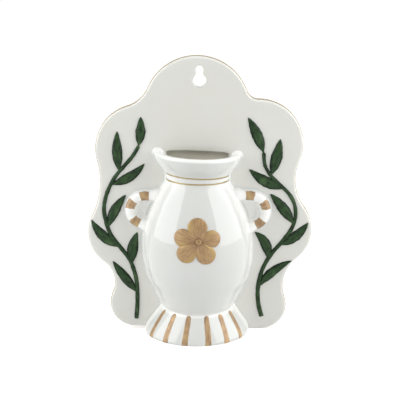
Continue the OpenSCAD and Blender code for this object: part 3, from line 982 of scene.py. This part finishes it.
def handlePath(bend, flip):    # points and how far each lies past the top of the bend
    centre = bend["centre"]
    r = bend["r"]
    depth = handleShape["intoBelly"]
    step = handleShape["reachStep"]
    top = (centre[0], centre[1] + r)
    inner = top
    while offBelly(*inner) > -depth:
        inner = (inner[0] + flip*step, inner[1])
    bendLine = []
    for k in range(handleShape["bendSteps"] + 1):
        x, z = polar((0, 0), r, mixed(90, handleShape["sweep"], k/handleShape["bendSteps"]))
        bendLine.append((centre[0] + flip*x, centre[1] + z))
    way = math.radians(handleShape["sweep"] + 90)
    last = bendLine[-1]
    while offBelly(*last) > -depth:
        last = (last[0] + flip*math.cos(way)*step, last[1] + math.sin(way)*step)
    path = softened(evenly([inner] + bendLine + [last], handleShape["step"]), 4)
    start = distance(inner, top)
    return path, [run - start for run in runs(path)]


def drawnIn(point):    # a cord's end follows the belly's slope
    x, y, z = point
    away = min(abs(x - axisX), bellyRadius(z)*stretch(z) - handleShape["intoBelly"])
    return (axisX + math.copysign(away, x - axisX), y, z)


def cordSide(scale, f):    # from the plate over its fillet to the top
    shape = handleShape
    r = shape["cordR"]*scale
    up = shape["cordOut"]
    a = math.sqrt((r + f)**2 - (up - f)**2)
    meet = math.degrees(math.atan2(f - up, a))
    side = [(a + shape["joint"], -0.2), (a, 0.0)]
    side += [polar((a, f), f, mixed(-90, meet - 180, k/6)) for k in range(1, 6)]
    return side + [polar((0, up), r, mixed(meet, 90, k/12)) for k in range(13)]


def cordSection(scale, flip):    # soft D, from one side over the top to the other
    fillets = [handleShape["fillet"], handleShape["innerFillet"]]
    first, second = fillets if flip > 0 else reversed(fillets)
    return cordSide(scale, first) + [(-x, z) for x, z in reversed(cordSide(scale, second)[:-1])]


def buildHandle(side, flip, material):
    bend = handleShape["bends"][side]
    skin = newSkin()
    path, past = handlePath(bend, flip)
    rings = []
    for (x, z), (nx, nz), run in zip(path, sideways(path), past):
        near = 1 - eased(-1.0, handleShape["flareRun"], offBelly(x, z))
        section = cordSection(1 + handleShape["flare"]*near, flip)
        points = [(x + nx*a, -(plateOut + h), z + nz*a) for a, h in section]
        turns = [math.radians(p - 90)*bend["r"] for p in bend["patches"]]
        lengthways = min(abs(run - turn) for turn in turns) - handleShape["patchHalf"]
        patch = [max(lengthways, abs(a) - handleShape["patchSide"]) for a, h in section]
        # painted highlight over the joints with the plate and along the bend's inner side
        pool = []
        for a, h in section:
            inner = a*flip < 0 and h < handleShape["innerHigh"]
            pool.append(max(jointHighlight(h), handleShape["innerHighlight"] if inner else 0.0))
        hollow = [1 - eased(0.5, 3.0, h) for a, h in section]
        across = [a for a, h in section]
        if run in (past[0], past[-1]):
            points = [drawnIn(point) for point in points]
        rings.append(addRing(
            skin, points, patch=patch, patchAlong=run, patchAcross=across, pool=pool, hollow=hollow,
        ))
    joinRings(skin, rings, capped=True)
    makePiece("handle" + side.capitalize(), skin, material, "white_glaze", "handle_" + side)


def handleGlaze():
    mask = strokeMask("patch", 0.0, handleShape["patchRagged"], 0.15)
    return gilded("handleGlaze", mask, "patchAlong", "patchAcross", *handleShape["streaks"])


cordGlaze = handleGlaze()
buildHandle("left", 1, cordGlaze)
buildHandle("right", -1, cordGlaze)
print("stage: handles")


# Flower on the belly
flowerShape = {
    "level": 0.375,    # share of the belly's height down from the neck
    "shift": (0.7, -0.6),    # the ring in its middle is pressed in a little off centre
    "notches": [48, 132, 196, 261.5, 340],    # degrees, where each petal starts
    "petals": [(94, 10.0, 7.4), (169, 11.3, 6.9), (226, 13.0, 7.1), (299, 11.3, 7.25), (371, 9.75, 6.6)],
    "crown": 1.15,
    "rim": 0.7,
    "rimRound": 1.1,
    "domeTurn": 1.25,    # over 1 puts a petal's highest place nearer its edge
    "valley": 1.7, "valleyHigh": 0.42,    # the hollow between two petals, and how high it is left
    "creases": [-21, -5, 10, 24],
    "creaseDeep": 0.25, "creaseWide": 0.4,
    "creaseReach": (0.55, 0.75),    # shares of the petal that the folds run, in turn
    "bossR": 2.3,
    "bossHigh": 1.7,
    "bossDish": 0.9,
    "root": -0.5,
    "underBoss": 0.7,    # share of the ring's radius where the petals start
    "narrow": 0.96,    # a petal's disc is drawn in a little
    "fan": 0.32,    # mm across the brush stroke for each degree
    "arcSteps": 48, "reachSteps": 22, "bossSteps": 36,
    "sideTint": 0.4, "middleTint": 0.35, "foldTint": 0.9,    # how far the shades go
}
flowerZ = neckZ - flowerShape["level"]*(neckZ - creaseZ)
flowerTilt = math.atan(bellyRadius(flowerZ - 0.5) - bellyRadius(flowerZ + 0.5))


def onBelly(a, b, high):    # a to the right and b up from the ring, high over the glaze
    a += flowerShape["shift"][0]
    z = flowerZ + (b + flowerShape["shift"][1])*math.cos(flowerTilt)
    r = bellyRadius(z)
    turn = math.asin(clamped(a/(r*stretch(z)), -0.98, 0.98))
    tilt = math.atan(bellyRadius(z - 0.5) - bellyRadius(z + 0.5))
    lifted = r + high*math.cos(tilt)
    x = lifted*math.sin(turn)*stretch(z)
    pz = z + high*math.sin(tilt) - urnSlope(z)*x
    return (axisX + x, -(plateOut + lifted*math.cos(turn)), pz)


def creased(rho, edge, phi):    # 1 in the folds that run out from the ring
    deepest = 0.0
    for i, crease in enumerate(flowerShape["creases"]):
        near = abs(phi - crease)*math.radians(1)*rho
        reach = flowerShape["creaseReach"][i % 2]
        fold = math.exp(-(near/flowerShape["creaseWide"])**2)
        deepest = max(deepest, fold*eased(reach, reach*0.5, rho/edge))
    return deepest


def petalHeight(rho, edge, phi, half):    # phi from the petal's middle line, half to its side
    shape = flowerShape
    share = rho/edge
    side = clamped(1 - (edge - rho)/shape["rimRound"])
    rim = math.sqrt(max(1 - side*side, 0))
    dome = math.sin(math.pi*clamped(share)**shape["domeTurn"])
    high = shape["rim"] + (shape["crown"] - shape["rim"])*dome
    fromValley = rho*math.sin(math.radians(max(half - abs(phi), 0)))
    high *= mixed(shape["valleyHigh"], 1, eased(0, shape["valley"], fromValley))
    high -= shape["creaseDeep"]*creased(rho, edge, phi)
    return high*rim


def buildPetal(number, material):
    shape = flowerShape
    skin = newSkin()
    middle, away, r = shape["petals"][number]    # a disc's bearing, distance and radius
    start = shape["notches"][number]
    end = shape["notches"][(number + 1) % len(shape["notches"])]
    end += 360 if end < start else 0
    inner = shape["bossR"]*shape["underBoss"]
    steps = shape["reachSteps"]
    rings = []
    for k in range(shape["arcSteps"] + 1):
        angle = mixed(start, end, k/shape["arcSteps"])
        half = middle - start if angle < middle else end - middle
        turn = math.radians(angle - middle)
        chord = max(r*r - (away*math.sin(turn))**2, 0)
        edge = away*math.cos(turn) + math.sqrt(chord)*shape["narrow"]
        reaches = [mixed(inner, edge, 1 - (1 - i/steps)**1.5) for i in range(steps + 1)]
        highs = [petalHeight(rho, edge, angle - middle, half) for rho in reaches]
        highs += [shape["root"], shape["root"]]
        reaches += [edge, inner]
        points = [onBelly(*polar((0, 0), rho, angle), high) for rho, high in zip(reaches, highs)]
        aside = [math.sin(turn)*rho for rho in reaches]
        fan = (angle - middle)*shape["fan"]
        folds = [creased(rho, edge, angle - middle) for rho in reaches]
        rings.append(addRing(
            skin, points, petalAcross=fan, petalAlong=reaches, petalSide=aside, fold=folds,
        ))
    joinRings(skin, rings, capped=True)
    name = str(number + 1)
    makePiece("petal" + name, skin, material, "gold_lustre", "petal_" + name)


def buildBoss(material):
    shape = flowerShape
    skin = newSkin()
    r = shape["bossR"]
    top = shape["bossHigh"]
    dish = top - shape["bossDish"]
    steps = shape["bossSteps"]
    side = [
        (0.15*r, dish), (0.3*r, dish + 0.05), (0.42*r, dish + 0.3), (0.53*r, top - 0.18), (0.66*r, top),
        (0.8*r, top - 0.1), (0.93*r, top - 0.45), (1.0*r, top - 1.0), (1.02*r, 0.4),
        (1.02*r, shape["root"]),
    ]
    rings = []
    for rho, high in side:
        points = [onBelly(*polar((0, 0), rho, 360*k/steps), high) for k in range(steps)]
        dark = 1.0 if rho > 0.8*r else 0.0    # a dark line round the ring
        rings.append(addRing(
            skin, points, petalAcross=0.0, petalAlong=mixed(4.5, 1.4, dark), petalSide=0.0, fold=dark,
        ))
    joinRings(skin, rings, capped=True)
    makePiece("flowerCentre", skin, material, "gold_lustre", "flower_centre")


def lustre():
    look = glazed("goldLustre", paint["petal"], paint["petalThin"])
    tree = look["tree"]
    brushed(look, "petal", None, "petalAcross", "petalAlong", Streaks=0.7, Streak_Strength=0.8)
    shades = [    # mark, where it starts and ends, how far it goes, and its colour
        ("petalSide", 1.5, 6.5, "sideTint", "petalThin"),
        ("petalAlong", 5.0, 1.4, "middleTint", "petalDark"),
        ("fold", 0.1, 0.9, "foldTint", "petalDark"),
    ]
    for mark, start, end, most, colour in shades:
        share = smoothStep(tree, markOf(tree, mark), start, end, 0.0, flowerShape[most])
        tinted(look, share, paint[colour])
    return finished(look, 0.25)


petalGold = lustre()
for petal in range(len(flowerShape["petals"])):
    buildPetal(petal, petalGold)
buildBoss(petalGold)
print("stage: flower")


# Vines in relief on the plate
vineShape = {
    "left": {
        "route": [
            (-48.5, -183), (-47.5, -170), (-47.8, -155), (-50, -144), (-53.8, -134.8), (-60.8, -125.3),
            (-67, -116.5), (-70.5, -106), (-71.7, -95.5), (-69, -83.7), (-62.9, -72),
            (-55, -62.5), (-49.5, -56), (-45.2, -48.8),
        ],
        "leaves": [    # place of the foot along the route, tip, width, bow
            (13, (-43.4, -26.8), 6.6, -0.7), (10.4, (-60.9, -37.6), 7, 0.8),
            (9.5, (-41, -62), 6.6, -2.6), (6.5, (-55.2, -85.8), 6.8, 1.7),
            (4.9, (-81.4, -105), 7, 2.8), (3.4, (-46.9, -114.7), 7.4, 1.5),
            (1.5, (-65.8, -137.5), 6.6, 0.3),
        ],
    },
    "right": {
        "route": [
            (47.6, -181.3), (45.3, -172.5), (44.5, -163), (45.3, -154), (47.5, -145), (50.9, -137.5),
            (55.4, -130.5), (61, -124), (66.4, -117), (70.4, -110), (72.3, -102), (71.3, -93),
            (67.2, -85.2), (60.6, -78.4), (53.9, -71.8), (48.9, -63.5), (47.8, -54),
        ],
        "leaves": [
            (16, (36, -27.3), 7, -0.8), (14.1, (60, -43.4), 7.5, -0.7),
            (12.6, (37.2, -66.2), 7.2, 2.1), (9.2, (53.1, -85.1), 7.2, -1.0),
            (6.9, (81.8, -107.3), 7, -2.4), (5.2, (41.7, -114.7), 7, -3.6),
            (2.5, (70, -137.2), 6.2, 2.6),
        ],
    },
    "stemFoot": 3.3,
    "stemTip": 2.7,
    "stemHigh": 1.3,
    "leafHigh": 1.75,
    "leafFull": 1.12,
    "leafFoot": 0.7, "leafEnd": 0.16,    # least half widths at the two ends
    "leafTurn": 0.9,    # under 1 puts the widest place nearer the foot
    "leafCurve": (1.1, 0.7),    # slim at the foot and full at the tip
    "leafLow": 0.45,    # share of the height that is left at both ends
    "sink": 0.25,
    "stemRagged": 0.2, "leafRagged": 0.1, "raggedScale": 0.35,
    "edgeDark": 0.85,
    "leafStreaks": (0.6, 0.95), "stemStreaks": (0.7, 0.9),    # how close they lie, and how dark
    "routeSteps": 6,
    "leafSteps": 30,
    "section": [    # share of the half width, share of the height
        (-1.04, -0.15), (-1.0, 0.14), (-0.9, 0.45), (-0.72, 0.74), (-0.48, 0.93), (-0.22, 1.0),
        (0, 0.95), (0.22, 1.0), (0.48, 0.93), (0.72, 0.74), (0.9, 0.45), (1.0, 0.14), (1.04, -0.15),
    ],
}


def routePoint(route, t):
    i = min(int(t), len(route) - 2)
    u = t - i
    a = route[max(i - 1, 0)]
    b = route[i]
    c = route[i + 1]
    d = route[min(i + 2, len(route) - 1)]
    return tuple(
        (2*q + (r - p)*u + (2*p - 5*q + 4*r - s)*u*u + (3*q - p - 3*r + s)*u**3)/2
        for p, q, r, s in zip(a, b, c, d)
    )


def sprig(skin, line, halves, heights, ragged):    # a domed stroke of relief along a line
    rings = []
    along = runs(line)
    for (x, z), (nx, nz), half, high, run in zip(line, sideways(line), halves, heights, along):
        wide = half*(1 + ragged*wobble(x, z, vineShape["raggedScale"], 7.7))
        points = []
        across = []
        for share, up in vineShape["section"]:
            rise = high*up if up > 0 else -vineShape["sink"]
            points.append((x + nx*wide*share, -(plateOut + rise), z + nz*wide*share))
            across.append(share*half)
        shares = [abs(share) for share, up in vineShape["section"]]
        rings.append(addRing(skin, points, leafAcross=across, leafEdge=shares, leafAlong=run))
    joinRings(skin, rings, capped=True)


def buildStem(side, material):
    shape = vineShape
    skin = newSkin()
    route = shape[side]["route"]
    count = shape["routeSteps"]*(len(route) - 1)
    line = [routePoint(route, i/shape["routeSteps"]) for i in range(count + 1)]
    halves = [mixed(shape["stemFoot"], shape["stemTip"], i/count)/2 for i in range(count + 1)]
    heights = [shape["stemHigh"]]*(count + 1)
    sprig(skin, line, halves, heights, shape["stemRagged"])
    makePiece("stem" + side.capitalize(), skin, material, "stem_glaze", "stem_" + side)


def buildLeaf(side, number, leaf, material):
    shape = vineShape
    skin = newSkin()
    place, tip, wide, bow = leaf
    foot = routePoint(shape[side]["route"], place)
    length = distance(foot, tip)
    left = (-(tip[1] - foot[1])/length, (tip[0] - foot[0])/length)
    control = tuple((p + q)/2 + 2*bow*n for p, q, n in zip(foot, tip, left))
    line = []
    halves = []
    heights = []
    for k in range(shape["leafSteps"] + 1):
        t = k/shape["leafSteps"]
        line.append(between(between(foot, control, t), between(control, tip, t), t))
        fullness = max(math.sin(math.pi*t**shape["leafTurn"]), 0)
        full = fullness**mixed(*shape["leafCurve"], t)
        least = shape["leafFoot"] if t < 0.5 else shape["leafEnd"]
        halves.append(max(wide/2*full*shape["leafFull"], least))
        heights.append(shape["leafHigh"]*mixed(shape["leafLow"], 1, fullness))
    sprig(skin, line, halves, heights, shape["leafRagged"])
    name = side + "_" + str(number)
    makePiece("leaf_" + name, skin, material, "leaf_glaze", "leaf_" + name)


def greenGlaze(name, streaks, strength):
    look = glazed(name, paint["leaf"], paint["leafDark"])
    tree = look["tree"]
    brushed(look, "leaf", None, "leafAcross", "leafAlong", Streaks=streaks, Streak_Strength=strength)
    edge = smoothStep(tree, markOf(tree, "leafEdge"), 0.45, 1.0, 0.0, vineShape["edgeDark"])
    tinted(look, edge, paint["leafDark"])
    tree.nodes["Principled BSDF"].inputs["Specular IOR Level"].default_value = paint["greenGloss"]
    return finished(look, 0.3)


leafGreen = greenGlaze("leafGlaze", *vineShape["leafStreaks"])
stemGreen = greenGlaze("stemGlaze", *vineShape["stemStreaks"])
for vineSide in ("left", "right"):
    buildStem(vineSide, stemGreen)
    for number, leaf in enumerate(vineShape[vineSide]["leaves"], 1):
        buildLeaf(vineSide, number, leaf, leafGreen)
print("stage: vines")


# Pale floor, which reads as plain white away from the shadow
studio = {
    "floorZ": -192.0,
    "floorSize": 9000,
    "floorColour": (0.8, 0.8, 0.8),
    "floorGlow": 0.64,
    "ambient": 0.48,
}


def pathSeen(tree):    # 1 for rays that show the background as it is
    rays = tree.nodes.new("ShaderNodeLightPath").outputs
    seen = maths(tree, "MAXIMUM", rays["Is Camera Ray"], rays["Is Glossy Ray"])
    return maths(tree, "MAXIMUM", seen, rays["Is Transmission Ray"])


def buildFloor():
    half = studio["floorSize"]*mm/2
    z = studio["floorZ"]*mm
    mesh = bpy.data.meshes.new("studioFloor")
    corners = [(-half, -half, z), (half, -half, z), (half, half, z), (-half, half, z)]
    mesh.from_pydata(corners, [], [(0, 1, 2, 3)])
    material = bpy.data.materials.new("studioFloor")
    material.use_nodes = True
    tree = material.node_tree
    shader = tree.nodes["Principled BSDF"]
    shader.inputs["Base Color"].default_value = studio["floorColour"] + (1,)
    shader.inputs["Roughness"].default_value = 0.9
    shader.inputs["Specular IOR Level"].default_value = 0.0
    shader.inputs["Emission Strength"].default_value = 1.0
    glow = mixColour(tree, pathSeen(tree), (0, 0, 0), (studio["floorGlow"],)*3)
    tree.links.new(glow, shader.inputs["Emission Color"])
    mesh.materials.append(material)
    floor = intoScene("studioFloor", mesh)


def buildWorld():
    world = bpy.data.worlds.new("studioAir")
    bpy.context.scene.world = world
    world.use_nodes = True
    tree = world.node_tree
    shade = tree.nodes["Background"]
    feed(tree, shade.inputs["Color"], (1, 1, 1))
    level = smoothStep(tree, pathSeen(tree), 0, 1, studio["ambient"], 1.0)
    tree.links.new(level, shade.inputs["Strength"])


# Soft boxes: azimuth is measured from straight ahead, positive to the right
lamps = {
    "leftBox": {"azimuth": -73, "away": 950, "low": -180, "high": 1150, "width": 1020, "level": 2.4},
    "rightBox": {"azimuth": 73, "away": 950, "low": -180, "high": 1150, "width": 1160, "level": 2.4},
}


def buildLamp(name, lamp):
    data = bpy.data.lights.new(name, "AREA")
    data.shape = "RECTANGLE"
    data.size = lamp["width"]*mm
    data.size_y = (lamp["high"] - lamp["low"])*mm
    data.energy = lamp["level"]*math.pi*data.size*data.size_y    # watts for that radiance
    light = intoScene(name, data)
    turn = math.radians(lamp["azimuth"])
    place = Vector((
        lamp["away"]*math.sin(turn), -lamp["away"]*math.cos(turn), (lamp["low"] + lamp["high"])/2,
    ))*mm
    light.location = place
    aim = Vector((0, 0, place.z))    # the boxes stand upright
    light.rotation_euler = (aim - place).to_track_quat("-Z", "Y").to_euler()


buildFloor()
buildWorld()
for name, lamp in lamps.items():
    buildLamp(name, lamp)
print("stage: studio")


# Camera at the photograph's angle
view = {"elevation": 13.5, "away": 850, "target": (0.4, -8.0, -89.7), "lens": 102.0, "sensor": 36}


def buildCamera():
    data = bpy.data.cameras.new("camera")
    data.lens = view["lens"]
    data.sensor_width = view["sensor"]
    camera = intoScene("camera", data)
    tilt = math.radians(view["elevation"])
    back = Vector((0, -math.cos(tilt), math.sin(tilt)))
    camera.location = (Vector(view["target"]) + back*view["away"])*mm
    camera.rotation_euler = (math.pi/2 - tilt, 0, 0)
    bpy.context.scene.camera = camera


buildCamera()
bpy.context.scene.view_settings.view_transform = "Standard"
